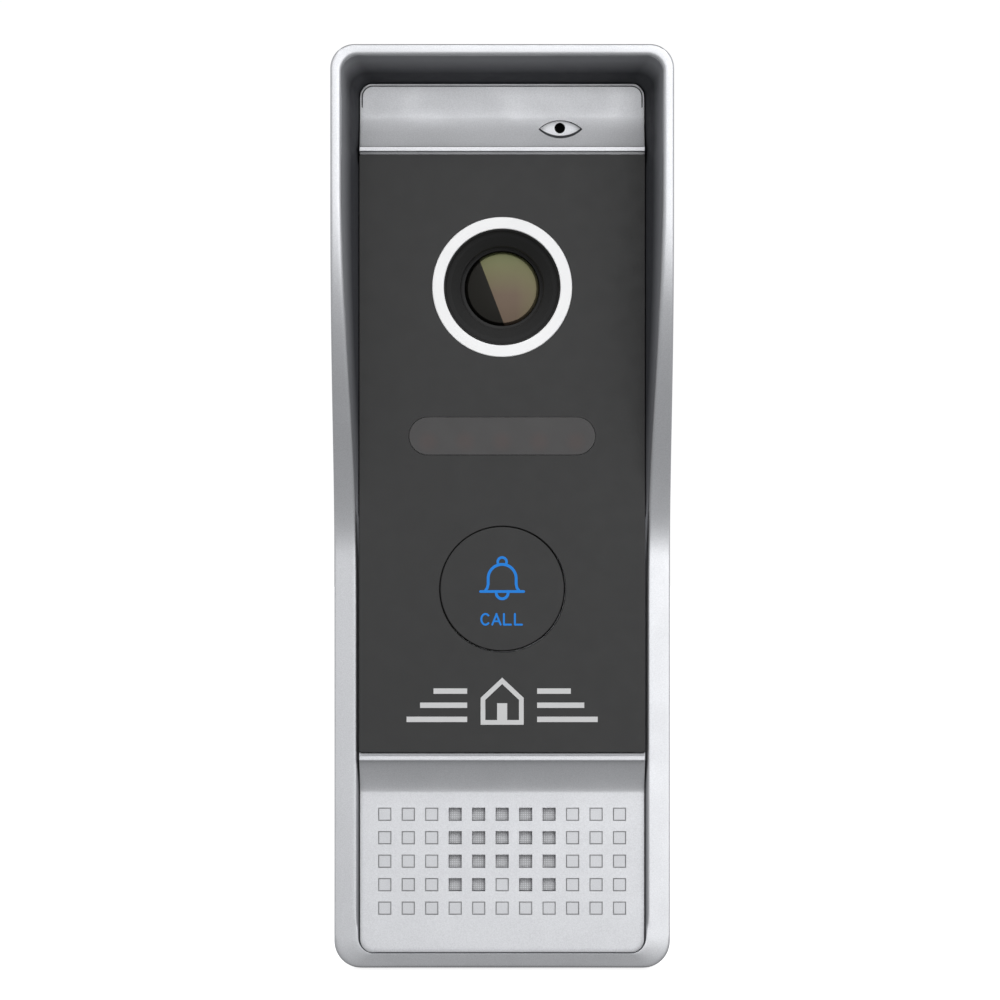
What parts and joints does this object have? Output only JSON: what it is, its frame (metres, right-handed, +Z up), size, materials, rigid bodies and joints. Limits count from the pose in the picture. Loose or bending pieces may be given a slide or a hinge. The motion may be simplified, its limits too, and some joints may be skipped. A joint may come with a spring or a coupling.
{
  "type": "video door station",
  "caption": "Slim wall-mounted video door station: camera, infrared window, lit call button and speaker grille in a black and silver unit under a deep silver rain hood.",
  "frame": {"origin": "centre of the wall face at the back of the wall plate", "axes": "front faces -Y; +Z up the wall; +X to the right as seen from the front; +Y into the wall"},
  "size_m": [0.05, 0.038, 0.136],
  "materials": {
    "silver_paint": "fine silver metallic paint, satin",
    "silver_plastic": "silver-painted plastic, satin",
    "black_plastic": "matt black, fine moulded grain",
    "black_acrylic": "smooth satin black acrylic sheet",
    "button_black": "smooth satin black",
    "smoked_acrylic": "smoked infrared-pass acrylic",
    "white_plastic": "smooth white",
    "silver_ink": "printed silver ink",
    "icon_blue": "translucent, lit blue from behind",
    "clear_plastic": "clear frosted light guide",
    "clear_epoxy": "cast clear epoxy",
    "coated_glass": "ground glass with an anti-reflection coating",
    "black_rubber": "soft matt",
    "screw_steel": "zinc-plated",
    "magnet_steel": "nickel-plated",
    "bright_can": "drawn can",
    "copper_wire": "enamelled copper wire",
    "gold_pins": "plated",
    "board_green": "solder-masked board",
    "chip_black": "moulded package",
    "capacitor_sleeve": "shrink sleeve",
    "ivory_nylon": "natural nylon",
    "pot_blue": "moulded blue",
    "cone_film": "pressed film",
    "speaker_cloth": "fine nylon dust mesh",
    "adhesive_film": "double-sided foam film"
  },
  "bodies": {
    "station": {"rain_shield": "silver_paint", "wall_plate": "black_plastic", "shield_screws": "screw_steel", "cable_grommet": "black_rubber", "rear_housing": "black_plastic", "housing_gasket": "black_rubber", "housing_screws": "screw_steel", "lock_screw": "screw_steel", "front_housing": "silver_plastic", "face_panel": "black_acrylic", "panel_adhesive": "adhesive_film", "panel_mark": "silver_ink", "lens_ring": "white_plastic", "lens_bezel": "black_plastic", "lens_seal": "black_rubber", "lens_barrel": "black_plastic", "front_lens": "coated_glass", "rear_lens": "coated_glass", "lens_holder": "black_plastic", "ir_cut_filter": "coated_glass", "image_sensor": "chip_black", "camera_board": "board_green", "camera_screws": "screw_steel", "ir_window": "smoked_acrylic", "ir_leds": "clear_epoxy", "ir_led_holder": "black_plastic", "light_sensor": "clear_epoxy", "button_leds": "white_plastic", "switch_body": "black_plastic", "speaker_mesh": "speaker_cloth", "speaker_gasket": "black_rubber", "speaker_frame": "screw_steel", "speaker_magnet": "magnet_steel", "speaker_surround": "black_rubber", "mic_boot": "black_rubber", "mic_capsule": "bright_can", "main_board": "board_green", "board_chips": "chip_black", "capacitors": "capacitor_sleeve", "wire_connector": "ivory_nylon", "connector_pins": "gold_pins", "volume_pot_body": "pot_blue", "board_screws": "screw_steel"},
    "call_button": {"button_cap": "button_black", "button_icon": "icon_blue", "button_light_guide": "clear_plastic"},
    "switch": {"switch_plunger": "black_plastic"},
    "volume_dial": {"volume_rotor": "white_plastic"},
    "diaphragm": {"speaker_cone": "cone_film", "voice_coil": "copper_wire"}
  },
  "joints": [
    {"name": "button_press", "type": "slide", "parent": "station", "child": "call_button", "axis": [0, 1, 0], "range_m": [0, 0.0006], "stiffness_N_per_m": 2000, "springref_m": -0.0005},
    {"name": "switch_travel", "type": "slide", "parent": "station", "child": "switch", "axis": [0, 1, 0], "range_m": [0, 0.0006]},
    {"name": "volume_trim", "type": "hinge", "parent": "station", "child": "volume_dial", "pos_m": [0.012, 0, 0.008], "axis": [0, 1, 0], "range_deg": [-135, 135]},
    {"name": "diaphragm_travel", "type": "slide", "parent": "station", "child": "diaphragm", "axis": [0, 1, 0], "range_m": [-0.0003, 0.0003], "stiffness_N_per_m": 1500}
  ],
  "couplings": [
    {"joint": "switch_travel", "follows": "button_press", "ratio": 1}
  ]
}
